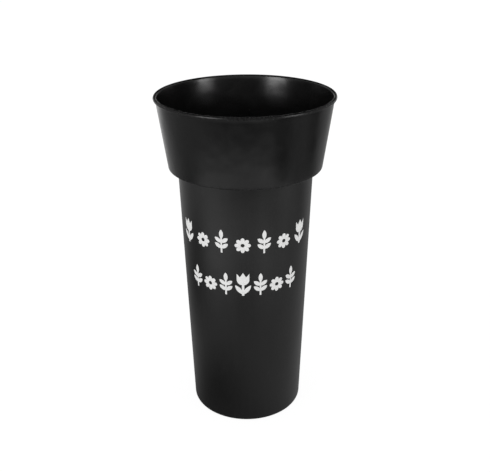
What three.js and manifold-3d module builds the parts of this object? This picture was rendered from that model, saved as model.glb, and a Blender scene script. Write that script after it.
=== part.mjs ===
// A florist's display bucket: one thin-walled plastic moulding with a tapered water well, a step
// that hangs in a display rack or stops on a nested bucket, a flared collar that spreads the
// flowers, and two rows of floral marks printed round the front of the well.
// Units are millimetres, +Z is up, the origin is on the ground under the bucket's axis, and the
// print faces -Y.

import * as THREE from "three";
import { TessellateModifier } from "three/addons/modifiers/TessellateModifier.js";
import { mergeVertices } from "three/addons/utils/BufferGeometryUtils.js";
import Module from "manifold-3d";

const wasm = await Module();
wasm.setup();

// Overall sizes.
const HEIGHT = 350;
const RIM_DIAMETER = 181.2; // over the lip
const BASE_DIAMETER = 120; // where the well's wall would meet the ground

// Collar and step.
const COLLAR_HEIGHT = 72.5; // from the step's underside to the rim
const NECK_DIAMETER = 138.4; // the well, just under the step
const STEP_WIDTH = 9.4; // how far the step stands out from the neck
const STEP_OUTER_RADIUS = 1;
const STEP_INNER_RADIUS = 1.2;

// Lip round the rim.
const LIP_OVERHANG = 2.1;
const LIP_HEIGHT = 2.8;
const LIP_RADIUS = 0.8;

// Walls and base.
const WALL = 1.4;
const FLOOR = 1.8;
const FOOT_RADIUS = 4.2; // the rounded bottom corner
const FOOT_WIDTH = 4; // the flat ring that the bucket stands on
const BASE_RISE = 3; // how far the middle of the base is pushed up
const RISE_SLOPE = 3.5; // the width of the slope up to it
const RISE_RADIUS = 1;
const GATE_DIAMETER = 7; // the mark that the moulding gate leaves under the base
const GATE_DEPTH = 0.7;

// Printed marks. They are laid out from their own widths, with a gap between neighbours.
const PRINT_GAP = 0.15; // clear of the wall's true cone
const PRINT_THICKNESS = 0.2;
const PRINT_DROP = 45; // from the step's underside to the tallest mark in the first row
const ROW_GAP = 21; // from a row's baseline to the tallest mark in the row below it
const ROWS = [
  { gap: 6.6, marks: ["tulip", "daisy", "sprig", "daisy", "sprig", "daisy", "tulip"] },
  { gap: 2.8, marks: ["sprig", "daisy", "sprig", "tulip", "sprig", "daisy", "sprig"] },
];
const DAISY = { petals: 8, reach: 8, petalWidth: 4.1, eye: 2, ring: 3.9, middle: 9.5 };
const TULIP = { height: 26, cupBottom: 12, cupWidth: 12, stemWidth: 2.4 };
const TULIP_CUP = { notch: 5, belly: 4.5, bulge: 0.9, lobeDrop: 1 };
const TULIP_LEAF = { root: 1.5, length: 13, width: 4.2, lean: 38 };
const SPRIG = { height: 25, stemWidth: 1.8, tipLeaf: 10, pairs: 2, firstPair: 5, pairPitch: 6 };
const SPRIG_LEAF = { length: 8.6, width: 4.2, lean: 52 };
const LEAF_FULLEST = 0.45; // how far along its length a leaf is widest

// How finely round things are cut.
const TURNS = 64; // facets round the bucket
const ARC_STEP = 36; // degrees, on the profile's radii
const CURVE_POINTS = 4; // on each curve of a printed outline
const PRINT_STEP = 5.5; // the longest edge that still follows the wall's curve
const MOST_SPLITS = 12; // times that a long edge is halved
const WELD = 1e-4; // corners closer than this are one

const PLASTIC = { color: 0x1c1c1d, roughness: 0.42, metalness: 0 };
const INK = { color: 0xe1e1e0, roughness: 0.6, metalness: 0 };

const radians = THREE.MathUtils.degToRad;
const stepHeight = HEIGHT - COLLAR_HEIGHT;
const wallSlope = (NECK_DIAMETER - BASE_DIAMETER) / 2 / stepHeight;
const wallLean = Math.atan(wallSlope);
const collarBottom = NECK_DIAMETER / 2 + STEP_WIDTH;
const collarTop = RIM_DIAMETER / 2 - LIP_OVERHANG;
const ringInside = BASE_DIAMETER / 2 - FOOT_RADIUS - FOOT_WIDTH;
const riseInside = ringInside - RISE_SLOPE;

// The radius of the well's outer wall at a height.
function wallRadius(z) {
  return BASE_DIAMETER / 2 + wallSlope * z;
}

// An outline through corners {r, z, radius}, each rounded by an arc of its radius.
function rounded(corners) {
  const points = [];
  corners.forEach(({ r, z, radius = 0 }, i) => {
    const corner = new THREE.Vector2(r, z);
    if (!radius) {
      points.push(corner);
      return;
    }
    const back = new THREE.Vector2(corners[i - 1].r, corners[i - 1].z).sub(corner).normalize();
    const on = new THREE.Vector2(corners[i + 1].r, corners[i + 1].z).sub(corner).normalize();
    const half = Math.acos(THREE.MathUtils.clamp(back.dot(on), -1, 1)) / 2;
    const middle = back.clone().add(on).normalize();
    const centre = corner.clone().addScaledVector(middle, radius / Math.sin(half));
    const start = corner.clone().addScaledVector(back, radius / Math.tan(half)).sub(centre);
    const sweep = (2 * half - Math.PI) * Math.sign(back.cross(on));
    const steps = Math.max(1, Math.round(Math.abs(sweep) / radians(ARC_STEP)));
    for (let k = 0; k <= steps; k++) {
      const turned = start.clone().rotateAround(new THREE.Vector2(), (sweep * k) / steps);
      points.push(turned.add(centre));
    }
  });
  return points;
}

// The moulding's outside, from under the base's middle up to the rim.
function outsideCorners() {
  return [
    { r: 0, z: BASE_RISE + GATE_DEPTH },
    { r: GATE_DIAMETER / 2, z: BASE_RISE + GATE_DEPTH },
    { r: GATE_DIAMETER / 2, z: BASE_RISE },
    { r: riseInside, z: BASE_RISE, radius: RISE_RADIUS },
    { r: ringInside, z: 0, radius: RISE_RADIUS },
    { r: BASE_DIAMETER / 2, z: 0, radius: FOOT_RADIUS },
    { r: NECK_DIAMETER / 2, z: stepHeight, radius: STEP_INNER_RADIUS },
    { r: collarBottom, z: stepHeight, radius: STEP_OUTER_RADIUS },
    { r: collarTop, z: HEIGHT - LIP_HEIGHT },
    { r: RIM_DIAMETER / 2, z: HEIGHT - LIP_HEIGHT, radius: LIP_RADIUS },
    { r: RIM_DIAMETER / 2, z: HEIGHT, radius: LIP_RADIUS },
  ];
}

// The moulding's inside, from the rim down to the middle of the floor.
function insideCorners() {
  const stepTop = stepHeight + WALL;
  const floorCorner = Math.max(FOOT_RADIUS - WALL, WALL / 2);
  return [
    { r: collarTop - WALL, z: HEIGHT, radius: LIP_RADIUS / 2 },
    { r: collarBottom - WALL, z: stepTop, radius: STEP_OUTER_RADIUS },
    { r: NECK_DIAMETER / 2 - WALL, z: stepTop, radius: STEP_INNER_RADIUS + WALL },
    { r: wallRadius(FLOOR) - WALL, z: FLOOR, radius: floorCorner },
    { r: ringInside, z: FLOOR, radius: RISE_RADIUS },
    { r: riseInside, z: BASE_RISE + FLOOR, radius: RISE_RADIUS },
    { r: 0, z: BASE_RISE + FLOOR },
  ];
}

// The whole bucket, turned from its section.
function bucketGeometry() {
  const section = rounded([...outsideCorners(), ...insideCorners()]);
  return new THREE.LatheGeometry(section, TURNS);
}

// A flat sheet of ink, PRINT_THICKNESS thick, as a manifold-3d solid.
function inkSheet(shape) {
  const sheet = new THREE.ExtrudeGeometry(shape, {
    depth: PRINT_THICKNESS,
    bevelEnabled: false,
    curveSegments: CURVE_POINTS,
  });
  sheet.deleteAttribute("normal");
  sheet.deleteAttribute("uv");
  const merged = mergeVertices(sheet, WELD);
  return new wasm.Manifold(
    new wasm.Mesh({
      numProp: 3,
      vertProperties: merged.getAttribute("position").array,
      triVerts: new Uint32Array(merged.index.array),
    }),
  );
}

// A pointed leaf from a root point, leaning to the right by an angle from straight up.
function leafShape(x, y, { length, width, lean }) {
  const turn = radians(lean);
  const place = (across, along) => [
    x + across * Math.cos(turn) + along * Math.sin(turn),
    y - across * Math.sin(turn) + along * Math.cos(turn),
  ];
  const fullest = length * LEAF_FULLEST;
  const leaf = new THREE.Shape();
  leaf.moveTo(...place(0, 0));
  leaf.quadraticCurveTo(...place(width, fullest), ...place(0, length));
  leaf.quadraticCurveTo(...place(-width, fullest), ...place(0, 0));
  return leaf;
}

// A stem that stands on the baseline.
function stemShape(width, height) {
  const stem = new THREE.Shape();
  stem.moveTo(-width / 2, 0);
  stem.lineTo(width / 2, 0);
  stem.lineTo(width / 2, height);
  stem.lineTo(-width / 2, height);
  stem.closePath();
  return stem;
}

// A pair of leaves that lean away from the stem on both sides.
function leafPair(root, leaf) {
  const right = inkSheet(leafShape(0, root, leaf));
  const left = inkSheet(leafShape(0, root, { ...leaf, lean: -leaf.lean }));
  return right.add(left);
}

// Petals round a ring, with the flower's eye left unprinted.
function daisy() {
  const { petals, reach, petalWidth, eye, ring, middle } = DAISY;
  const disc = new THREE.Shape().absarc(0, middle, ring, 0, 2 * Math.PI);
  disc.holes.push(new THREE.Path().absarc(0, middle, eye, 0, 2 * Math.PI, true));
  let flower = inkSheet(disc);
  const root = (eye + ring) / 2;
  const centre = (root + reach) / 2;
  const halfLength = (reach - root) / 2;
  for (let k = 0; k < petals; k++) {
    const turn = (2 * Math.PI * k) / petals;
    const x = centre * Math.cos(turn);
    const y = middle + centre * Math.sin(turn);
    const petal = new THREE.Shape();
    petal.absellipse(x, y, halfLength, petalWidth / 2, 0, 2 * Math.PI, false, turn);
    flower = flower.add(inkSheet(petal));
  }
  return flower;
}

// The tulip's cup: a round bottom, and three lobes with a notch each side of the middle one.
function tulipCup() {
  const { height, cupBottom, cupWidth } = TULIP;
  const { notch, belly, bulge, lobeDrop } = TULIP_CUP;
  const side = cupWidth / 2;
  const lobeTop = height - lobeDrop;
  const cup = new THREE.Shape();
  cup.moveTo(0, cupBottom);
  cup.bezierCurveTo(side, cupBottom, side + bulge, cupBottom + belly, side, lobeTop);
  cup.quadraticCurveTo(side / 2, lobeTop - notch / 2, side / 2, height - notch);
  cup.quadraticCurveTo(side / 2, height - notch / 2, 0, height);
  cup.quadraticCurveTo(-side / 2, height - notch / 2, -side / 2, height - notch);
  cup.quadraticCurveTo(-side / 2, lobeTop - notch / 2, -side, lobeTop);
  cup.bezierCurveTo(-side - bulge, cupBottom + belly, -side, cupBottom, 0, cupBottom);
  return cup;
}

// A three-lobed cup on a stem with a leaf on each side.
function tulip() {
  const stem = stemShape(TULIP.stemWidth, TULIP.cupBottom + TULIP.stemWidth);
  const cup = inkSheet(tulipCup());
  return cup.add(inkSheet(stem)).add(leafPair(TULIP_LEAF.root, TULIP_LEAF));
}

// A straight twig with pairs of leaves up it and one leaf at its tip.
function sprig() {
  const { height, stemWidth, tipLeaf, pairs, firstPair, pairPitch } = SPRIG;
  const stem = stemShape(stemWidth, height - tipLeaf / 2);
  const tip = leafShape(0, height - tipLeaf, { ...SPRIG_LEAF, length: tipLeaf, lean: 0 });
  let twig = inkSheet(stem).add(inkSheet(tip));
  for (let k = 0; k < pairs; k++) {
    twig = twig.add(leafPair(firstPair + k * pairPitch, SPRIG_LEAF));
  }
  return twig;
}

const MARKS = { daisy: daisy(), tulip: tulip(), sprig: sprig() };

// A mark's reach to the left and right of its middle, and its top above the baseline.
function extent(mark) {
  const { min, max } = mark.boundingBox();
  return { left: min[0], right: max[0], top: max[1] };
}

// A flat mark bent round the well: x runs round the wall from `along`, y up it from `baseline`.
function printedGeometry(mark, along, baseline) {
  const { numProp, vertProperties, triVerts } = mark.getMesh();
  const places = [];
  for (const vertex of triVerts) {
    places.push(...vertProperties.subarray(vertex * numProp, vertex * numProp + 3));
  }
  const flat = new THREE.BufferGeometry();
  flat.setAttribute("position", new THREE.Float32BufferAttribute(places, 3));
  const fine = new TessellateModifier(PRINT_STEP, MOST_SPLITS).modify(flat);
  const position = fine.getAttribute("position");
  for (let i = 0; i < position.count; i++) {
    const turn = (along + position.getX(i)) / wallRadius(baseline);
    const up = position.getY(i) * Math.cos(wallLean);
    const out = PRINT_GAP + position.getZ(i);
    const radius = wallRadius(baseline + up) + out * Math.cos(wallLean);
    const z = baseline + up - out * Math.sin(wallLean);
    position.setXYZ(i, radius * Math.sin(turn), -radius * Math.cos(turn), z);
  }
  return mergeVertices(fine, WELD);
}

function piece(name, geometry, finish) {
  const mesh = new THREE.Mesh(geometry, new THREE.MeshStandardMaterial(finish));
  mesh.name = name;
  return mesh;
}

const bucket = new THREE.Group();

const moulding = piece("bucket_moulding", bucketGeometry(), PLASTIC);
moulding.rotation.x = Math.PI / 2; // a lathe turns round Y, and the bucket stands on Z
bucket.add(moulding);

let rowTop = stepHeight - PRINT_DROP;
ROWS.forEach(({ gap, marks }, row) => {
  const extents = marks.map((kind) => extent(MARKS[kind]));
  const widths = extents.map(({ left, right }) => right - left);
  const rowWidth = widths.reduce((sum, width) => sum + width + gap, -gap);
  const baseline = rowTop - Math.max(...extents.map(({ top }) => top));
  let edge = -rowWidth / 2;
  marks.forEach((kind, i) => {
    const geometry = printedGeometry(MARKS[kind], edge - extents[i].left, baseline);
    bucket.add(piece(`print_row${row + 1}_${i + 1}_${kind}`, geometry, INK));
    edge += widths[i] + gap;
  });
  rowTop = baseline - ROW_GAP;
});

export default bucket;
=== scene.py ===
# The looks of a florist's display bucket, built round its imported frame: one black plastic
# moulding with floral marks printed in pale ink, on a plain pale floor in soft studio light.
# Lengths are in metres. +Z is up, the bucket stands on z = 0, and the print faces -Y.

import math

import bmesh
import bpy
from mathutils import Matrix, Vector


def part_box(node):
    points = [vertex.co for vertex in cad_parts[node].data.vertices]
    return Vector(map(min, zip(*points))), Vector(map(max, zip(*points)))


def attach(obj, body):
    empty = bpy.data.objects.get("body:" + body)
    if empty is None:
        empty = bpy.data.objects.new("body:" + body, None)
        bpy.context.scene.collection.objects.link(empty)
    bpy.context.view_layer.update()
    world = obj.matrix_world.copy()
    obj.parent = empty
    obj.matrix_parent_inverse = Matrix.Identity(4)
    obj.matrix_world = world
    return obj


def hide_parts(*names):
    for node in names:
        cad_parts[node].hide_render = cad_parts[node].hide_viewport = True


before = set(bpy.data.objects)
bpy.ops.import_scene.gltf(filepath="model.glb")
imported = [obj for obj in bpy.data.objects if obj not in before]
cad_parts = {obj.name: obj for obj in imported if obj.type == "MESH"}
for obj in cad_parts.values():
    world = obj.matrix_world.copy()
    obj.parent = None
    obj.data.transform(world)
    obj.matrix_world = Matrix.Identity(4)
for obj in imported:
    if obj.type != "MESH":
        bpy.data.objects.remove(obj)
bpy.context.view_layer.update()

MM = 0.001
UP = Vector((0, 0, 1))

# ---------------------------------------------------------------------------------------------
# Sizes of the moulding. Its overall size is the frame's.
# ---------------------------------------------------------------------------------------------

moulding_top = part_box("bucket_moulding")[1]
HEIGHT = moulding_top.z
RIM_RADIUS = moulding_top.x

BASE_RADIUS = 60 * MM  # where the well's wall would meet the ground
NECK_RADIUS = 69.2 * MM  # the well, just under the step
STEP_HEIGHT = 277.5 * MM
STEP_WIDTH = 9.4 * MM
STEP_OUTER_RADIUS = 1 * MM
STEP_INNER_RADIUS = 1.2 * MM

LIP_OVERHANG = 2.1 * MM
LIP_HEIGHT = 2.8 * MM
LIP_RADIUS = 0.8 * MM  # its lower edge
LIP_TOP_RADIUS = 1.4 * MM
LIP_INNER_RADIUS = 1.8 * MM
FLASH_HEIGHT = 0.95 * MM  # the mould's parting line, above the lip's lower edge
FLASH_WIDTH = 0.3 * MM
FLASH_DEPTH = 0.1 * MM

WALL = 1.4 * MM
FLOOR = 1.8 * MM
FOOT_RADIUS = 4.2 * MM
FOOT_WIDTH = 4 * MM
BASE_RISE = 3 * MM
RISE_SLOPE = 3.5 * MM
RISE_RADIUS = 1 * MM
GATE_RADIUS = 3.5 * MM
GATE_DEPTH = 0.7 * MM
GATE_EDGE = 0.25 * MM
NIB_RADIUS = 1.1 * MM  # what is left of the sprue, broken off inside the gate's recess
NIB_HEIGHT = 0.5 * MM

FACES_ROUND = 224
RING_SPACING = 3.5 * MM  # of the rings of points up its walls
ARC_POINTS = 7  # on a rounded corner
WEAR_AND_HIGHLIGHT_SPREAD = 2 * MM  # how far rubbing and the painted edge highlight reach from a worn place

WELD = 0.001 * MM  # points closer than this are one
LEVEL = 0.3  # a face whose normal's z is beyond this, up or down, lies flat
CREASE = math.radians(40)  # an edge that turns more than this is shaded sharp

# ---------------------------------------------------------------------------------------------
# Sizes of the printed marks. Their places come from the frame.
# ---------------------------------------------------------------------------------------------

INK_BACK = 0.012 * MM  # clear of the wall
INK_FACE = 0.06 * MM
INK_COLUMN = 1 * MM  # the widest flat strip in a film that follows the wall
PLATE_DEPTH = 2 * MM
CURVE_POINTS = 28  # round an oval, or along both sides of a leaf
STRAIGHT = math.radians(1)  # a point that turns less than this is left out of an outline
OUTLINE_DECIMALS = 7  # of a metre, in an outline's points

PETALS = 8
DAISY_REACH = 8 * MM
DAISY_EYE = 2 * MM
DAISY_RING = 3.9 * MM
DAISY_MIDDLE = 9.5 * MM
PETAL_WIDTH = 4.1 * MM

TULIP_HEIGHT = 26 * MM
TULIP_CUP_BOTTOM = 12 * MM
TULIP_CUP_WIDTH = 12.6 * MM
TULIP_CUP_ROUNDING = 0.98  # of half the cup's width
TULIP_LOBE_TOP = 25 * MM
TULIP_NOTCH = 21 * MM
TULIP_STEM = 2.4 * MM
TULIP_LEAF = {"length": 13 * MM, "width": 2.2 * MM, "lean": 38, "root": 1.5 * MM}

SPRIG_HEIGHT = 25 * MM
SPRIG_STEM = 1.8 * MM
SPRIG_TIP = {"length": 10 * MM, "width": 2.1 * MM, "lean": 0, "root": 15 * MM}
SPRIG_LEAF = {"length": 8.6 * MM, "width": 2.1 * MM, "lean": 52}
SPRIG_ROOTS = (5 * MM, 11 * MM)  # where its pairs of leaves leave the stem

wall_slope = (NECK_RADIUS - BASE_RADIUS) / STEP_HEIGHT
wall_lean = math.atan(wall_slope)
collar_bottom = NECK_RADIUS + STEP_WIDTH
collar_top = RIM_RADIUS - LIP_OVERHANG
ring_inside = BASE_RADIUS - FOOT_RADIUS - FOOT_WIDTH
rise_inside = ring_inside - RISE_SLOPE


def wall_radius(z):
    """The radius of the well's outer wall at a height."""
    return BASE_RADIUS + wall_slope * z


# ---------------------------------------------------------------------------------------------
# The moulding
# ---------------------------------------------------------------------------------------------

# Its finishes, in the order of its material slots.
WELL, INSIDE, BASE, COLLAR = range(4)


def section_corners():
    """The moulding's section as (radius, height, rounding), from under the base, up the
    outside, over the lip and down the inside to the middle of the floor."""
    gate_top = BASE_RISE + GATE_DEPTH
    lip_bottom = HEIGHT - LIP_HEIGHT
    flash = lip_bottom + FLASH_HEIGHT
    step_top = STEP_HEIGHT + WALL
    return [
        (0, gate_top - NIB_HEIGHT, 0),
        (NIB_RADIUS / 2, gate_top - NIB_HEIGHT, 0),
        (NIB_RADIUS, gate_top, 0),
        (GATE_RADIUS, gate_top, GATE_EDGE),
        (GATE_RADIUS, BASE_RISE, GATE_EDGE),
        (rise_inside, BASE_RISE, RISE_RADIUS),
        (ring_inside, 0, RISE_RADIUS),
        (BASE_RADIUS, 0, FOOT_RADIUS),
        (NECK_RADIUS, STEP_HEIGHT, STEP_INNER_RADIUS),
        (collar_bottom, STEP_HEIGHT, STEP_OUTER_RADIUS),
        (collar_top, lip_bottom, LIP_RADIUS / 2),
        (RIM_RADIUS - FLASH_DEPTH, lip_bottom, LIP_RADIUS),
        (RIM_RADIUS - FLASH_DEPTH, flash, 0),
        (RIM_RADIUS, flash + FLASH_WIDTH / 2, 0),
        (RIM_RADIUS - FLASH_DEPTH, flash + FLASH_WIDTH, 0),
        (RIM_RADIUS - FLASH_DEPTH, HEIGHT, LIP_TOP_RADIUS),
        (collar_top - WALL, HEIGHT, LIP_INNER_RADIUS),
        (collar_bottom - WALL, step_top, STEP_OUTER_RADIUS),
        (NECK_RADIUS - WALL, step_top, STEP_INNER_RADIUS + WALL),
        (wall_radius(FLOOR) - WALL, FLOOR, FOOT_RADIUS - WALL),
        (ring_inside, FLOOR, RISE_RADIUS),
        (rise_inside, BASE_RISE + FLOOR, RISE_RADIUS),
        (0, BASE_RISE + FLOOR, 0),
    ]


def worn_and_highlit_places():
    """Where hands, racks and shelves rub the moulding, and where the lip and the step's edge
    get a painted highlight, as points on its section.
    """
    return [
        Vector((BASE_RADIUS - FOOT_RADIUS, 0)),
        Vector((BASE_RADIUS - FOOT_RADIUS / 3, FOOT_RADIUS / 3)),
        Vector((collar_bottom, STEP_HEIGHT)),
        Vector((RIM_RADIUS, HEIGHT)),
        Vector((RIM_RADIUS, HEIGHT - LIP_HEIGHT)),
    ]


def round_corner(section, corner, radius):
    """Rounds one corner of a wire section with an arc of a radius."""
    sides = [edge.other_vert(corner).co - corner.co for edge in corner.link_edges]
    tangent = radius / math.tan(sides[0].angle(sides[1]) / 2)
    bmesh.ops.bevel(
        section,
        geom=[corner],
        offset=tangent,
        offset_type="OFFSET",
        segments=ARC_POINTS,
        profile=0.5,
        affect="VERTICES",
        material=-1,
        clamp_overlap=True,
    )


def draw_section():
    """The wire section in the XZ plane, rounded, with rings along its long stretches."""
    section = bmesh.new()
    corners = section_corners()
    points = [section.verts.new((r, 0, z)) for r, z, _ in corners]
    for start, end in zip(points, points[1:]):
        section.edges.new((start, end))
    for point, (_, _, radius) in zip(points, corners):
        if radius:
            round_corner(section, point, radius)
    for edge in list(section.edges):
        cuts = int(edge.calc_length() / RING_SPACING)
        if cuts:
            bmesh.ops.subdivide_edges(section, edges=[edge], cuts=cuts)
    return section


def paint_wear_and_highlight(shell):
    """Stores how worn each point is, from 0 to 1, as the mesh's own attribute. On the lip and
    the step's edge the same value also lays a painted highlight.
    """
    places = worn_and_highlit_places()
    layer = shell.verts.layers.float.new("wear_and_highlight")
    for point in shell.verts:
        on_section = Vector((point.co.xy.length, point.co.z))
        nearest = min((on_section - place).length for place in places)
        point[layer] = max(0.0, 1 - nearest / WEAR_AND_HIGHLIGHT_SPREAD)


def finish_of(face):
    """Which of the plastic's finishes a face has."""
    middle = face.calc_center_median()
    if face.normal.z < -LEVEL and middle.z <= BASE_RISE + GATE_DEPTH:
        return BASE
    inward = face.normal.xy.dot(middle.xy) < 0
    on_floor = face.normal.z > LEVEL and middle.z < HEIGHT - LIP_HEIGHT
    if inward or on_floor:
        return INSIDE
    return COLLAR if middle.z >= STEP_HEIGHT else WELL


def mesh_object(name, built):
    """Turns a bmesh into an object at the origin."""
    data = bpy.data.meshes.new(name)
    built.to_mesh(data)
    built.free()
    made = bpy.data.objects.new(name, data)
    bpy.context.scene.collection.objects.link(made)
    return made


def make_moulding():
    """The bucket, spun from its section."""
    shell = draw_section()
    bmesh.ops.spin(
        shell,
        geom=shell.verts[:] + shell.edges[:],
        cent=(0, 0, 0),
        axis=UP,
        angle=2 * math.pi,
        steps=FACES_ROUND,
        use_merge=True,
    )
    bmesh.ops.remove_doubles(shell, verts=shell.verts, dist=WELD)
    bmesh.ops.recalc_face_normals(shell, faces=shell.faces)
    paint_wear_and_highlight(shell)
    for face in shell.faces:
        face.smooth = True
        face.material_index = finish_of(face)
    return mesh_object("bucket_shell", shell)


# ---------------------------------------------------------------------------------------------
# The printed marks: flat plates of ink in the XY plane, joined, then bent round the well
# ---------------------------------------------------------------------------------------------


def thicken(flat):
    """Turns flat faces into a plate that can be joined to others."""
    grown = bmesh.ops.extrude_face_region(flat, geom=flat.faces[:])
    tops = [part for part in grown["geom"] if isinstance(part, bmesh.types.BMVert)]
    bmesh.ops.translate(flat, vec=UP * PLATE_DEPTH, verts=tops)
    bmesh.ops.recalc_face_normals(flat, faces=flat.faces)
    return flat


def everything(built):
    """All the points, edges and faces of a bmesh."""
    return built.verts[:] + built.edges[:] + built.faces[:]


def bisect(flat, x, **options):
    """Cuts flat faces along a line at x."""
    bmesh.ops.bisect_plane(
        flat,
        geom=everything(flat),
        plane_co=(x, 0, 0),
        plane_no=(1, 0, 0),
        **options,
    )


def oval(x, y, half_length, half_width, turn):
    """An oval plate whose long axis is turned from the X axis."""
    place = Matrix.Translation((x, y, 0)) @ Matrix.Rotation(turn, 4, "Z")
    size = Matrix.Diagonal((half_length, half_width, 1, 1))
    place_oval = place @ size
    flat = bmesh.new()
    bmesh.ops.create_circle(flat, cap_ends=True, radius=1, segments=CURVE_POINTS, matrix=place_oval)
    return thicken(flat)


def polygon(points, rounded=0, radius=0.0):
    """A plate with straight sides, whose first few corners may be rounded."""
    flat = bmesh.new()
    corners = [flat.verts.new((x, y, 0)) for x, y in points]
    flat.faces.new(corners)
    if rounded:
        bmesh.ops.bevel(
            flat,
            geom=corners[:rounded],
            offset=radius,
            offset_type="OFFSET",
            segments=ARC_POINTS,
            profile=0.5,
            affect="VERTICES",
            material=-1,
            clamp_overlap=True,
        )
    return thicken(flat)


def leaf(length, width, lean, root, side=1):
    """A pointed leaf: half of it is cut from a circle and mirrored."""
    radius = (length**2 / 4 + width**2) / (2 * width)
    points = round(CURVE_POINTS * math.pi * radius / length)
    place = Matrix.Translation((width - radius, length / 2, 0))
    flat = bmesh.new()
    bmesh.ops.create_circle(flat, cap_ends=True, radius=radius, segments=points, matrix=place)
    bisect(flat, 0, clear_inner=True)
    bmesh.ops.mirror(flat, geom=everything(flat), axis="X", merge_dist=WELD)
    bmesh.ops.remove_doubles(flat, verts=flat.verts, dist=WELD)
    bmesh.ops.dissolve_limit(flat, angle_limit=STRAIGHT, verts=[], edges=flat.edges)
    turn = Matrix.Rotation(-side * math.radians(lean), 4, "Z")
    bmesh.ops.transform(flat, matrix=Matrix.Translation((0, root, 0)) @ turn, verts=flat.verts)
    return thicken(flat)


def stem(width, height):
    """A straight stem that stands on the baseline."""
    return polygon([(-width / 2, 0), (width / 2, 0), (width / 2, height), (-width / 2, height)])


def leaf_pair(size, root):
    """Two leaves that lean away from the stem."""
    return [leaf(size["length"], size["width"], size["lean"], root, side) for side in (1, -1)]


def daisy_plates():
    """A ring, petals all round it, and the eye that is taken out of it."""
    root = (DAISY_EYE + DAISY_RING) / 2
    centre = (root + DAISY_REACH) / 2
    plates = [oval(0, DAISY_MIDDLE, DAISY_RING, DAISY_RING, 0)]
    for k in range(PETALS):
        turn = 2 * math.pi * k / PETALS
        x = centre * math.cos(turn)
        y = DAISY_MIDDLE + centre * math.sin(turn)
        plates.append(oval(x, y, (DAISY_REACH - root) / 2, PETAL_WIDTH / 2, turn))
    return plates, [oval(0, DAISY_MIDDLE, DAISY_EYE, DAISY_EYE, 0)]


def tulip_plates():
    """A cup with three pointed lobes, on a stem with two leaves."""
    side = TULIP_CUP_WIDTH / 2
    notch = TULIP_CUP_WIDTH / 4
    cup = [
        (-side, TULIP_CUP_BOTTOM),
        (side, TULIP_CUP_BOTTOM),
        (side, TULIP_LOBE_TOP),
        (notch, TULIP_NOTCH),
        (0, TULIP_HEIGHT),
        (-notch, TULIP_NOTCH),
        (-side, TULIP_LOBE_TOP),
    ]
    plates = [polygon(cup, rounded=2, radius=side * TULIP_CUP_ROUNDING)]
    plates.append(stem(TULIP_STEM, TULIP_CUP_BOTTOM + TULIP_STEM))
    return plates + leaf_pair(TULIP_LEAF, TULIP_LEAF["root"]), []


def sprig_plates():
    """A straight twig with pairs of leaves up it and one leaf at its tip."""
    plates = [stem(SPRIG_STEM, SPRIG_HEIGHT - SPRIG_TIP["length"] / 2)]
    plates.append(leaf(**SPRIG_TIP))
    for root in SPRIG_ROOTS:
        plates += leaf_pair(SPRIG_LEAF, root)
    return plates, []


def join_plates(plates, cutters):
    """One plate from overlapping plates, less the cutters."""
    whole = mesh_object("joining", plates[0])
    steps = [(other, "UNION") for other in plates[1:]]
    steps += [(other, "DIFFERENCE") for other in cutters]
    helpers = []
    for other, operation in steps:
        helper = mesh_object("helper", other)
        helpers.append(helper)
        join = whole.modifiers.new("join", "BOOLEAN")
        join.operation = operation
        join.solver = "EXACT"
        join.object = helper
    joined = bmesh.new()
    joined.from_object(whole, bpy.context.evaluated_depsgraph_get())
    for used in [whole, *helpers]:
        bpy.data.objects.remove(used)
    return joined


def rounded_place(point):
    """A point's x and y, rounded so that they are the same in every run."""
    return round(point.co.x, OUTLINE_DECIMALS), round(point.co.y, OUTLINE_DECIMALS)


def join_outline(plates, cutters):
    """The edge of the joined plates' top, as a wire."""
    joined = join_plates(plates, cutters)
    unwanted = [face for face in joined.faces if face.normal.z < LEVEL]
    bmesh.ops.delete(joined, geom=unwanted, context="FACES")
    bmesh.ops.remove_doubles(joined, verts=joined.verts, dist=WELD)
    inner = [edge for edge in joined.edges if not edge.is_boundary]
    bmesh.ops.delete(joined, geom=inner, context="EDGES")
    bmesh.ops.delete(joined, geom=joined.faces[:], context="FACES_ONLY")
    straight = [point for point in joined.verts if point.calc_edge_angle(math.pi) < STRAIGHT]
    bmesh.ops.dissolve_verts(joined, verts=straight)
    return joined


def flat_outline(plates, cutters):
    """The joined plates' top, as flat faces at z = 0. Its edge is put in order and filled again,
    because a join doesn't always lay its faces out the same way."""
    edge_wire = join_outline(plates, cutters)
    places = sorted(rounded_place(point) for point in edge_wire.verts)
    lines = sorted(sorted(rounded_place(end) for end in line.verts) for line in edge_wire.edges)
    edge_wire.free()
    flat = bmesh.new()
    points = {place: flat.verts.new((*place, 0)) for place in places}
    for start, end in lines:
        flat.edges.new((points[start], points[end]))
    bmesh.ops.triangle_fill(flat, use_beauty=True, edges=flat.edges, normal=UP)
    return flat


def film_from(outline, name, centre_turn, baseline):
    """A film of ink on the well, from a flat outline centred on x = 0."""
    film = outline.copy()
    edge = max(point.co.x for point in film.verts)
    columns = math.ceil(2 * edge / INK_COLUMN)
    for k in range(1, columns):
        bisect(film, -edge + 2 * edge * k / columns, dist=WELD)
    grown = bmesh.ops.extrude_face_region(film, geom=film.faces[:])
    tops = {part for part in grown["geom"] if isinstance(part, bmesh.types.BMVert)}
    for point in film.verts:
        out = INK_FACE if point in tops else INK_BACK
        turn = centre_turn + point.co.x / wall_radius(baseline)
        up = point.co.y * math.cos(wall_lean)
        radius = wall_radius(baseline + up) + out * math.cos(wall_lean)
        z = baseline + up - out * math.sin(wall_lean)
        point.co = (radius * math.sin(turn), -radius * math.cos(turn), z)
    bmesh.ops.recalc_face_normals(film, faces=film.faces)
    if film.calc_volume(signed=True) < 0:
        bmesh.ops.reverse_faces(film, faces=film.faces)
    for line in film.edges:
        line.smooth = line.calc_face_angle(0) < CREASE
    for face in film.faces:
        face.smooth = True
    return mesh_object(name, film)


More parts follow.
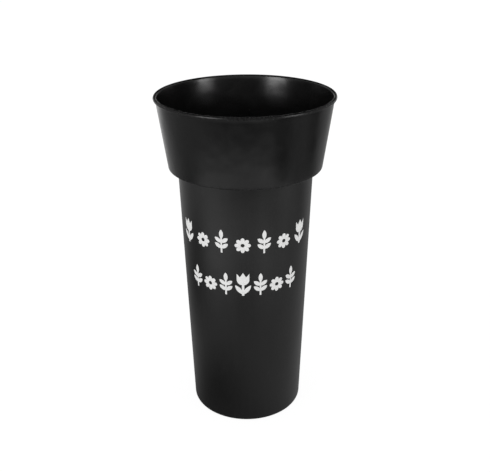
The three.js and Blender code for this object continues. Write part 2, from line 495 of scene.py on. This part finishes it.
def turn_of(node):
    """The angle round the well, from -Y towards +X, of the middle of a printed node."""
    turns = [math.atan2(point.co.x, -point.co.y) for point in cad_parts[node].data.vertices]
    return (min(turns) + max(turns)) / 2


def make_marks():
    """One film for each printed node, on the baseline that its row shares."""
    outlines = {
        "daisy": flat_outline(*daisy_plates()),
        "tulip": flat_outline(*tulip_plates()),
        "sprig": flat_outline(*sprig_plates()),
    }
    printed = sorted(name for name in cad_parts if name.startswith("print_"))
    films = []
    for node in printed:
        row = node.split("_")[1]
        baseline = min(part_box(other)[0].z for other in printed if other.split("_")[1] == row)
        kind = node.split("_")[-1]
        film = film_from(outlines[kind], node.replace("print", "ink"), turn_of(node), baseline)
        films.append((film, node))
    for outline in outlines.values():
        outline.free()
    return films


# ---------------------------------------------------------------------------------------------
# Shader helpers and the node groups that the finishes share
# ---------------------------------------------------------------------------------------------

GRAIN_SHARE = 0.35  # how tall the fine grain is beside the swell
SMUDGE_RANGE = (0.35, 0.7)  # of the noise, from clean to smudged
STREAK_SQUEEZE = 0.05  # of the pattern's coordinates up the wall, which draws streaks out
SCRATCH_SQUEEZE = 0.16
SCRATCH_BEND = 30 * MM  # over how far a scratch wanders
SCRATCH_SHIFT = 6 * MM  # how far it wanders, at most
SCRATCH_LENGTH = 16 * MM


def add(tree, kind, settings=None, **sockets):
    """Adds a shader node, with its settings, and fills or links its named sockets."""
    made = tree.nodes.new("ShaderNode" + kind)
    for key, value in (settings or {}).items():
        setattr(made, key, value)
    for key, value in sockets.items():
        fill(tree, made.inputs[key.replace("_", " ")], value)
    return made


def fill(tree, socket, value):
    """Links an output to a socket, or sets the socket's own value."""
    if isinstance(value, bpy.types.NodeSocket):
        tree.links.new(value, socket)
    else:
        socket.default_value = value


def calculate(tree, operation, *values):
    """A Math node's result."""
    made = add(tree, "Math", {"operation": operation})
    for socket, value in zip(made.inputs, values):
        fill(tree, socket, value)
    return made.outputs["Value"]


def ramp(tree, value, low, high, to_low=0, to_high=1):
    """A value eased from one range to another, and held at its ends."""
    made = add(tree, "MapRange", {"interpolation_type": "SMOOTHSTEP"}, Value=value)
    made.inputs["From Min"].default_value = low
    made.inputs["From Max"].default_value = high
    made.inputs["To Min"].default_value = to_low
    made.inputs["To Max"].default_value = to_high
    return made.outputs["Result"]


def blend_colours(tree, share, first, second):
    """A colour between two others."""
    made = add(tree, "Mix", {"data_type": "RGBA"})
    fill(tree, made.inputs["Factor"], share)
    colours = [socket for socket in made.inputs if socket.type == "RGBA"]
    fill(tree, colours[0], first)
    fill(tree, colours[1], second)
    return next(socket for socket in made.outputs if socket.type == "RGBA")


def between(tree, share, first, second):
    """A value between two others."""
    made = add(tree, "Mix", {"data_type": "FLOAT"})
    fill(tree, made.inputs["Factor"], share)
    fill(tree, made.inputs["A"], first)
    fill(tree, made.inputs["B"], second)
    return made.outputs["Result"]


def mix_shaders(tree, share, first, second):
    """A Mix Shader node between two shader nodes."""
    made = add(tree, "MixShader", Fac=share)
    tree.links.new(first.outputs[0], made.inputs[1])
    tree.links.new(second.outputs[0], made.inputs[2])
    return made


def new_group(name, inputs, output):
    """An empty node group with float inputs (or a vector, for Vector) and one float output."""
    tree = bpy.data.node_groups.new(name, "ShaderNodeTree")
    for label, value in inputs.items():
        kind = "NodeSocketVector" if label == "Vector" else "NodeSocketFloat"
        socket = tree.interface.new_socket(label, in_out="INPUT", socket_type=kind)
        if kind == "NodeSocketFloat":
            socket.default_value = value
    tree.interface.new_socket(output, in_out="OUTPUT", socket_type="NodeSocketFloat")
    entry = tree.nodes.new("NodeGroupInput").outputs
    way_out = tree.nodes.new("NodeGroupOutput").inputs[output]
    return tree, entry, way_out


def texture_scale(tree, size):
    """A texture's scale, from the size in metres of what it draws."""
    return calculate(tree, "DIVIDE", 1, size)


def noise(tree, vector, scale, **settings):
    """A Noise texture's value."""
    return add(tree, "TexNoise", Vector=vector, Scale=scale, **settings).outputs["Fac"]


def grain_group():
    """The fine grain of a moulded surface, with a slower swell under it."""
    inputs = {"Vector": None, "Size": 0.6 * MM, "Swell": 9 * MM}
    tree, given, result = new_group("moulded_grain", inputs, "Height")
    fine = noise(tree, given["Vector"], texture_scale(tree, given["Size"]), Detail=3)
    swell = noise(tree, given["Vector"], texture_scale(tree, given["Swell"]), Detail=1)
    tree.links.new(calculate(tree, "MULTIPLY_ADD", fine, GRAIN_SHARE, swell), result)
    return tree


def streak_group():
    """Long faint streaks up the wall, left by polishing the mould and drawing the part out."""
    tree, given, result = new_group("drawn_streaks", {"Vector": None, "Width": 4 * MM}, "Mask")
    scale = texture_scale(tree, given["Width"])
    drawn = add(tree, "Mapping", Vector=given["Vector"], Scale=(1, 1, STREAK_SQUEEZE))
    streaks = noise(tree, drawn.outputs["Vector"], scale, Detail=4, Roughness=0.6)
    tree.links.new(streaks, result)
    return tree


def smudge_group():
    """Broad patches where hands and wiping have changed the sheen."""
    tree, given, result = new_group("handled_patches", {"Vector": None, "Size": 45 * MM}, "Mask")
    scale = texture_scale(tree, given["Size"])
    settings = {"Detail": 4, "Roughness": 0.55, "Distortion": 0.6}
    smudges = noise(tree, given["Vector"], scale, **settings)
    tree.links.new(ramp(tree, smudges, *SMUDGE_RANGE), result)
    return tree


def speck_group():
    """Specks of dust, each in its own cell, scattered thinly."""
    inputs = {"Vector": None, "Spacing": 5 * MM, "Radius": 0.05, "Share": 0.3}
    tree, given, result = new_group("settled_dust", inputs, "Mask")
    scale = texture_scale(tree, given["Spacing"])
    cells = add(tree, "TexVoronoi", Vector=given["Vector"], Scale=scale)
    near = calculate(tree, "LESS_THAN", cells.outputs["Distance"], given["Radius"])
    pick = add(tree, "SeparateColor", Color=cells.outputs["Color"])
    kept = calculate(tree, "LESS_THAN", pick.outputs["Red"], given["Share"])
    tree.links.new(calculate(tree, "MULTIPLY", near, kept), result)
    return tree


def scratch_group():
    """Fine scratches that run mostly up and down, broken into short lengths."""
    inputs = {"Vector": None, "Spacing": 7 * MM, "Width": 0.02, "Share": 0.25}
    tree, given, result = new_group("fine_scratches", inputs, "Mask")
    bend = add(tree, "TexNoise", Vector=given["Vector"], Scale=1 / SCRATCH_BEND, Detail=1)
    bend = bend.outputs["Color"]
    shift = add(tree, "VectorMath", {"operation": "SCALE"}, Vector=bend, Scale=SCRATCH_SHIFT)
    bent = add(tree, "VectorMath", {"operation": "ADD"})
    fill(tree, bent.inputs[0], given["Vector"])
    fill(tree, bent.inputs[1], shift.outputs["Vector"])
    drawn = add(tree, "Mapping", Vector=bent.outputs["Vector"], Scale=(1, 1, SCRATCH_SQUEEZE))
    lines = add(
        tree,
        "TexVoronoi",
        {"feature": "DISTANCE_TO_EDGE"},
        Vector=drawn.outputs["Vector"],
        Scale=texture_scale(tree, given["Spacing"]),
    )
    thin = calculate(tree, "LESS_THAN", lines.outputs["Distance"], given["Width"])
    lengths = noise(tree, given["Vector"], 1 / SCRATCH_LENGTH, Detail=2)
    shown = calculate(tree, "LESS_THAN", lengths, given["Share"])
    tree.links.new(calculate(tree, "MULTIPLY", thin, shown), result)
    return tree


GROUPS = {
    "grain": grain_group(),
    "streaks": streak_group(),
    "smudges": smudge_group(),
    "specks": speck_group(),
    "scratches": scratch_group(),
}


def use_group(tree, name, vector, **values):
    """Places a shared group in a finish with its own values, and gives its one output."""
    made = tree.nodes.new("ShaderNodeGroup")
    made.node_tree = GROUPS[name]
    tree.links.new(vector, made.inputs["Vector"])
    for key, value in values.items():
        fill(tree, made.inputs[key], value)
    return made.outputs[0]


def new_finish(name, **constants):
    """A material with a Principled BSDF: its node tree, that shader's sockets, and the object
    coordinates."""
    made = bpy.data.materials.new(name)
    made.use_nodes = True
    tree = made.node_tree
    tree.nodes.clear()
    shader = add(tree, "BsdfPrincipled", **constants)
    surface = add(tree, "OutputMaterial")
    tree.links.new(shader.outputs["BSDF"], surface.inputs["Surface"])
    where = add(tree, "TexCoord").outputs["Object"]
    return made, tree, shader.inputs, where


# ---------------------------------------------------------------------------------------------
# Finishes
# ---------------------------------------------------------------------------------------------

BLACK = (0.002, 0.002, 0.002, 1)
FADED_BLACK = (0.003, 0.003, 0.003, 1)
# Rubbed places and scratches are greyer; on the lip and the step's edge this grey is also a painted
# highlight.
RUBBED_AND_HIGHLIGHT_GREY = (0.03, 0.03, 0.03, 1)
DUST = (0.22, 0.21, 0.2, 1)
INK = (0.68, 0.68, 0.675, 1)
THIN_INK = (0.5, 0.5, 0.5, 1)

# The plastic's finishes: how strong and how rough the sheen is, how far the surface strays
# from true in its slow swell, and the fine grain's size and relief.
PLASTICS = {
    WELL: {
        "name": "black_plastic_well",
        "sheen_level": 0.64,
        "roughness": 0.31,
        "warp": 0.25 * MM,
        "grain_size": 0.7 * MM,
        "grain_height": 0.012 * MM,
    },
    INSIDE: {
        "name": "black_plastic_inside",
        "sheen_level": 0.45,
        "roughness": 0.22,
        "warp": 0.5 * MM,
        "grain_size": 0.7 * MM,
        "grain_height": 0.006 * MM,
    },
    BASE: {
        "name": "black_plastic_base",
        "sheen_level": 0.45,
        "roughness": 0.42,
        "warp": 0.1 * MM,
        "grain_size": 0.5 * MM,
        "grain_height": 0.01 * MM,
        "turned": True,
    },
    COLLAR: {
        "name": "black_plastic_collar",
        "sheen_level": 0.355,
        "roughness": 0.21,
        "warp": 0.6 * MM,
        "grain_size": 0.7 * MM,
        "grain_height": 0.01 * MM,
    },
}

SWAY_SIZE = 26 * MM  # of that slow swell
FADE_RANGE = (0.35, 0.75)  # of the streaks, between black and faded black
STREAK_RELIEF = 0.006 * MM
RUB_AND_HIGHLIGHT_SIZE = 2.5 * MM  # of the patches that rubbing, with its painted edge highlight, leaves on a worn place
RUB_AND_HIGHLIGHT_RANGE = (0.42, 0.72)
RUB_AND_HIGHLIGHT_COLOUR = 0.6  # how much of its own colour a rubbed place with its painted edge highlight, a scratch and a speck show
SCRATCH_COLOUR = 0.12
DUST_COLOUR = 0.3
SMUDGE_ROUGHNESS = 0.04  # what smudges and rubbing add to the roughness
RUB_ROUGHNESS = 0.15
TURNING_SCALE = 1 / (6 * MM)  # of a Wave texture whose rings are then about 1.9 mm apart

INK_ROUGHNESS = (0.5, 0.62)  # where the ink is thick, and where it is thin
INK_THINNING = 0.3  # how much of the thin ink's colour shows where it is thinnest
INK_RELIEF = 0.02 * MM


def bump(tree, relief, height, normal=None):
    """A Bump node's normal, on top of another if one is given."""
    made = add(tree, "Bump", Strength=1, Distance=relief, Height=height)
    if normal is not None:
        fill(tree, made.inputs["Normal"], normal)
    return made.outputs["Normal"]


def plastic_colour(tree, streaks, rubbed_and_highlit, scratches, specks):
    """Black that fades along the streaks, and is greyer where it is rubbed, scratched or dusty;
    on the lip and the step's edge the rubbed grey is also a painted highlight.
    """
    colour = blend_colours(tree, ramp(tree, streaks, *FADE_RANGE), BLACK, FADED_BLACK)
    for mask, share, over in (
        (rubbed_and_highlit, RUB_AND_HIGHLIGHT_COLOUR, RUBBED_AND_HIGHLIGHT_GREY),
        (scratches, SCRATCH_COLOUR, RUBBED_AND_HIGHLIGHT_GREY),
        (specks, DUST_COLOUR, DUST),
    ):
        colour = blend_colours(tree, calculate(tree, "MULTIPLY", mask, share), colour, over)
    return colour


def plastic_finish(name, sheen_level, roughness, warp, grain_size, grain_height, turned=False):
    """Black polypropylene: satin, faintly grained and streaked, with rubbed edges that also carry
    a painted highlight, fine scratches and a little dust. A turned finish has the rings of a
    lathe-cut mould."""
    made, tree, shader, where = new_finish(name, Specular_IOR_Level=sheen_level, IOR=1.5)
    streaks = use_group(tree, "streaks", where, Width=5 * MM)
    smudges = use_group(tree, "smudges", where, Size=48 * MM)
    specks = use_group(tree, "specks", where, Spacing=7 * MM, Radius=0.03, Share=0.15)
    scratches = use_group(tree, "scratches", where, Spacing=9 * MM, Width=0.012, Share=0.36)
    grain = use_group(tree, "grain", where, Size=grain_size)

    # The wear attribute greys the lip, the step's edge and the foot: rubbing, which on the lip and
    # the step's edge is also a painted highlight.
    wear_and_highlight = add(tree, "Attribute", {"attribute_name": "wear_and_highlight"}).outputs["Fac"]
    rub_and_highlight_noise = noise(tree, where, 1 / RUB_AND_HIGHLIGHT_SIZE, Detail=5, Roughness=0.7)
    rubbed_and_highlit = calculate(tree, "MULTIPLY", wear_and_highlight, ramp(tree, rub_and_highlight_noise, *RUB_AND_HIGHLIGHT_RANGE))
    fill(tree, shader["Base Color"], plastic_colour(tree, streaks, rubbed_and_highlit, scratches, specks))

    smudged = calculate(tree, "MULTIPLY_ADD", smudges, SMUDGE_ROUGHNESS, roughness)
    rougher = calculate(tree, "MULTIPLY_ADD", rubbed_and_highlit, RUB_ROUGHNESS, smudged)
    fill(tree, shader["Roughness"], rougher)

    height = grain
    if turned:
        wave = {"wave_type": "RINGS", "rings_direction": "Z"}
        rings = add(tree, "TexWave", wave, Vector=where, Scale=TURNING_SCALE)
        height = calculate(tree, "ADD", grain, rings.outputs["Fac"])
    normal = bump(tree, warp, noise(tree, where, 1 / SWAY_SIZE, Detail=1.5))
    normal = bump(tree, grain_height, height, normal)
    normal = bump(tree, STREAK_RELIEF, streaks, normal)
    fill(tree, shader["Normal"], normal)
    return made


def ink_finish():
    """Pale screen-printing ink: flat, a little thin in places, with pinholes and a fine grain."""
    made, tree, shader, where = new_finish("pale_ink", Specular_IOR_Level=0.4)
    thin = use_group(tree, "smudges", where, Size=4 * MM)
    pinholes = use_group(tree, "specks", where, Spacing=1.6 * MM, Radius=0.05, Share=0.35)
    colour = blend_colours(tree, calculate(tree, "MULTIPLY", thin, INK_THINNING), INK, THIN_INK)
    fill(tree, shader["Base Color"], blend_colours(tree, pinholes, colour, BLACK))
    fill(tree, shader["Roughness"], ramp(tree, thin, 0, 1, *INK_ROUGHNESS))
    grain = use_group(tree, "grain", where, Size=0.25 * MM, Swell=2 * MM)
    fill(tree, shader["Normal"], bump(tree, INK_RELIEF, grain))
    return made


# ---------------------------------------------------------------------------------------------
# Studio
# ---------------------------------------------------------------------------------------------

FLOOR_RADIUS = 9
FLOOR_SIDES = 64
FLOOR_ALBEDO = 0.95
FLOOR_SHADE = 0.1  # how much of the contact shadow the picture keeps
WHITE = 1.04  # the floor and the backdrop, in the picture
WORLD_LIGHT = 0.85  # the even light on matt surfaces
WORLD_GLOSS = 0.85  # the band of light round the studio, in the sheen
BAND_RISE = (0.08, 0.2)  # sines of the elevations between which that band comes and goes
BAND_FALL = (0.4, 0.5)
BAND_BACK = (0.65, 0.9)  # how far towards +Y it fades away
LOW_GLOSS = 0.9  # the bright backdrop behind the bucket, near the horizon, in the sheen
LOW_FALL = (0.06, 0.15)
TOP_GLOSS = 0.5  # the soft light overhead, in the sheen
TOP_RISE = (0.86, 0.96)

# How bright the floor is in the bucket's sheen, as painted reflections and painted shade that
# the floor gives off only to glossy rays; the bright arc in front of the bucket, which fades
# between two places as it goes back; and the soft patches that lighten or darken the rest, with
# their centre, half widths across and along, and how much each adds at its middle.
FLOOR_GLOSS = 0.31
FLOOR_RING = {"radius": 0.462, "width": 0.122, "amount": 1.05, "fades": (-0.32, -0.05)}
FLOOR_PATCHES = [
    {"centre": (0.03, -0.37), "reach": (0.25, 0.09), "amount": -0.5},  # inside the bright arc
    {"centre": (-0.07, -0.07), "reach": (0.16, 0.16), "amount": -0.23},  # a painted shadow round the foot
    {"centre": (-0.36, 0.05), "reach": (0.28, 0.3), "amount": -0.25},  # left of the bucket
    {"centre": (0.7, 0.2), "reach": (0.3, 0.28), "amount": -0.25},  # right of the bucket
    {"centre": (0.44, -0.34), "reach": (0.2, 0.2), "amount": -0.75},  # the arc's right end
    {"centre": (0, -0.95), "reach": (1.1, 0.45), "amount": -1.25},  # the darker room in front
    {"centre": (-0.6, 1.1), "reach": (0.9, 0.9), "amount": 0.55},  # the lit floor behind
    {"centre": (0, 1.9), "reach": (1.6, 1.4), "amount": 0.8},
    {"centre": (-1.8, -0.6), "reach": (1.3, 1), "amount": 1.5},  # the lit floor at the sides
    {"centre": (1.8, -0.6), "reach": (1.3, 1), "amount": 1.5},
]

# Two softboxes at one height: azimuth in degrees from -Y towards +X, width and brightness.
SOFTBOXES = [
    {"azimuth": 61, "width": 0.6, "glow": 6.8},
    {"azimuth": -41.5, "width": 0.72, "glow": 8.8},
]
SOFTBOX_ELEVATION = 6
SOFTBOX_DISTANCE = 1.6
SOFTBOX_HEIGHT = 0.34
AIM = Vector((0, 0, 0.33))  # what they face, near the bucket's mouth

CAMERA_TURN = math.radians(3)
CAMERA_PITCH = math.radians(24.13)
CAMERA_ROLL = math.radians(-0.47)
CAMERA_PLACE = Vector((-1.1, -731.4, 523.9)) * MM
CAMERA_LENS = 55.1  # millimetres, as the sensor's width
SENSOR = 36


def direction(azimuth, elevation):
    """A unit vector from the bucket towards an azimuth and elevation in degrees."""
    a = math.radians(azimuth)
    e = math.radians(elevation)
    return Vector((math.sin(a) * math.cos(e), -math.cos(a) * math.cos(e), math.sin(e)))


def make_softbox(number, azimuth, width, glow):
    """A rectangular light that faces the bucket and doesn't show in the picture itself."""
    light = bpy.data.lights.new(f"softbox_{number}", "AREA")
    light.shape = "RECTANGLE"
    light.size = width
    light.size_y = SOFTBOX_HEIGHT
    light.energy = glow * math.pi * width * SOFTBOX_HEIGHT
    made = bpy.data.objects.new(f"softbox_{number}", light)
    back = direction(azimuth, SOFTBOX_ELEVATION)
    made.location = AIM + back * SOFTBOX_DISTANCE
    made.rotation_euler = back.to_track_quat("Z", "Y").to_euler()
    made.visible_camera = False
    bpy.context.scene.collection.objects.link(made)


def make_world():
    """Even light from all round: white in the picture, and in the sheen a soft band, the
    bright backdrop low behind the bucket, and a soft light overhead."""
    world = bpy.data.worlds.new("studio")
    world.use_nodes = True
    tree = world.node_tree
    tree.nodes.clear()
    path = add(tree, "LightPath")
    towards = add(tree, "SeparateXYZ", Vector=add(tree, "TexCoord").outputs["Generated"]).outputs
    band = ramp(tree, towards["Z"], *BAND_RISE, to_high=WORLD_GLOSS)
    band = calculate(tree, "MULTIPLY", band, ramp(tree, towards["Z"], *BAND_FALL, 1, 0))
    band = calculate(tree, "MULTIPLY", band, ramp(tree, towards["Y"], *BAND_BACK, 1, 0))
    low = ramp(tree, towards["Z"], *LOW_FALL, LOW_GLOSS, 0)
    low = calculate(tree, "MULTIPLY", low, ramp(tree, towards["Y"], *BAND_BACK))
    top = ramp(tree, towards["Z"], *TOP_RISE, to_high=TOP_GLOSS)
    sheen = calculate(tree, "ADD", calculate(tree, "ADD", band, low), top)
    level = between(tree, path.outputs["Is Glossy Ray"], WORLD_LIGHT, sheen)
    level = between(tree, path.outputs["Is Camera Ray"], level, WHITE)
    backdrop = add(tree, "Background", Color=(1, 1, 1, 1), Strength=level)
    surface = add(tree, "OutputWorld")
    tree.links.new(backdrop.outputs["Background"], surface.inputs["Surface"])
    bpy.context.scene.world = world


def distance_from(tree, where, x=0, y=0, wide=1, deep=1):
    """How far a place is from a point, in half widths across and along."""
    place = {"Location": (-x / wide, -y / deep, 0), "Scale": (1 / wide, 1 / deep, 0)}
    moved = add(tree, "Mapping", Vector=where, **place).outputs["Vector"]
    return add(tree, "VectorMath", {"operation": "LENGTH"}, Vector=moved).outputs["Value"]


def floor_glow(tree):
    """How bright the floor's painted reflections and painted shade are in the sheen: one level,
    with the arc and the patches added.
    """
    where = add(tree, "TexCoord").outputs["Object"]
    back = add(tree, "SeparateXYZ", Vector=where).outputs["Y"]
    off_ring = calculate(tree, "SUBTRACT", distance_from(tree, where), FLOOR_RING["radius"])
    off_ring = calculate(tree, "ABSOLUTE", off_ring)
    arc = ramp(tree, off_ring, 0, FLOOR_RING["width"], FLOOR_RING["amount"], 0)
    arc = calculate(tree, "MULTIPLY", arc, ramp(tree, back, *FLOOR_RING["fades"], 1, 0))
    level = calculate(tree, "ADD", arc, FLOOR_GLOSS)
    for patch in FLOOR_PATCHES:
        away = distance_from(tree, where, *patch["centre"], *patch["reach"])
        level = calculate(tree, "ADD", level, ramp(tree, away, 0, 1, patch["amount"], 0))
    return calculate(tree, "MAXIMUM", level, 0)


def make_floor():
    """A plain pale floor that the bucket stands on, clear when it is seen from below. To glossy
    rays it glows with painted reflections and painted shade instead of its matt white.
    """
    disc = bmesh.new()
    bmesh.ops.create_circle(disc, cap_ends=True, radius=FLOOR_RADIUS, segments=FLOOR_SIDES)
    floor = mesh_object("floor", disc)
    made = bpy.data.materials.new("pale_floor")
    made.use_nodes = True
    tree = made.node_tree
    tree.nodes.clear()
    path = add(tree, "LightPath")
    matt = add(tree, "BsdfDiffuse", Color=(FLOOR_ALBEDO, FLOOR_ALBEDO, FLOOR_ALBEDO, 1))
    bright = add(tree, "Emission", Strength=WHITE)
    # What glossy rays see: painted reflections and painted shade, given off as light.
    glow = add(tree, "Emission", Strength=floor_glow(tree))
    seen = mix_shaders(tree, 1 - FLOOR_SHADE, matt, bright)
    hidden = mix_shaders(tree, path.outputs["Is Glossy Ray"], matt, glow)
    result = mix_shaders(tree, path.outputs["Is Camera Ray"], hidden, seen)
    below = add(tree, "NewGeometry").outputs["Backfacing"]
    result = mix_shaders(tree, below, result, add(tree, "BsdfTransparent"))
    surface = add(tree, "OutputMaterial")
    tree.links.new(result.outputs["Shader"], surface.inputs["Surface"])
    floor.data.materials.append(made)


def make_camera():
    """The camera, turned round the bucket a little to one side of the print's middle."""
    lens = bpy.data.cameras.new("camera")
    lens.sensor_width = SENSOR
    lens.lens = CAMERA_LENS
    made = bpy.data.objects.new("camera", lens)
    turn = Matrix.Rotation(CAMERA_TURN, 4, "Z")
    tilt = Matrix.Rotation(math.pi / 2 - CAMERA_PITCH, 4, "X")
    roll = Matrix.Rotation(CAMERA_ROLL, 4, "Z")
    made.matrix_world = turn @ Matrix.Translation(CAMERA_PLACE) @ tilt @ roll
    bpy.context.scene.collection.objects.link(made)
    bpy.context.scene.camera = made


# ---------------------------------------------------------------------------------------------
# Putting it together
# ---------------------------------------------------------------------------------------------

make_camera()
make_world()
make_floor()
for number, softbox in enumerate(SOFTBOXES, start=1):
    make_softbox(number, **softbox)

shell = make_moulding()
for slot in (WELL, INSIDE, BASE, COLLAR):
    shell.data.materials.append(plastic_finish(**PLASTICS[slot]))
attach(shell, "root")
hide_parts("bucket_moulding")

pale_ink = ink_finish()
for film, node in make_marks():
    film.data.materials.append(pale_ink)
    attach(film, "root")
    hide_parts(node)

bpy.context.scene.view_settings.view_transform = "Standard"
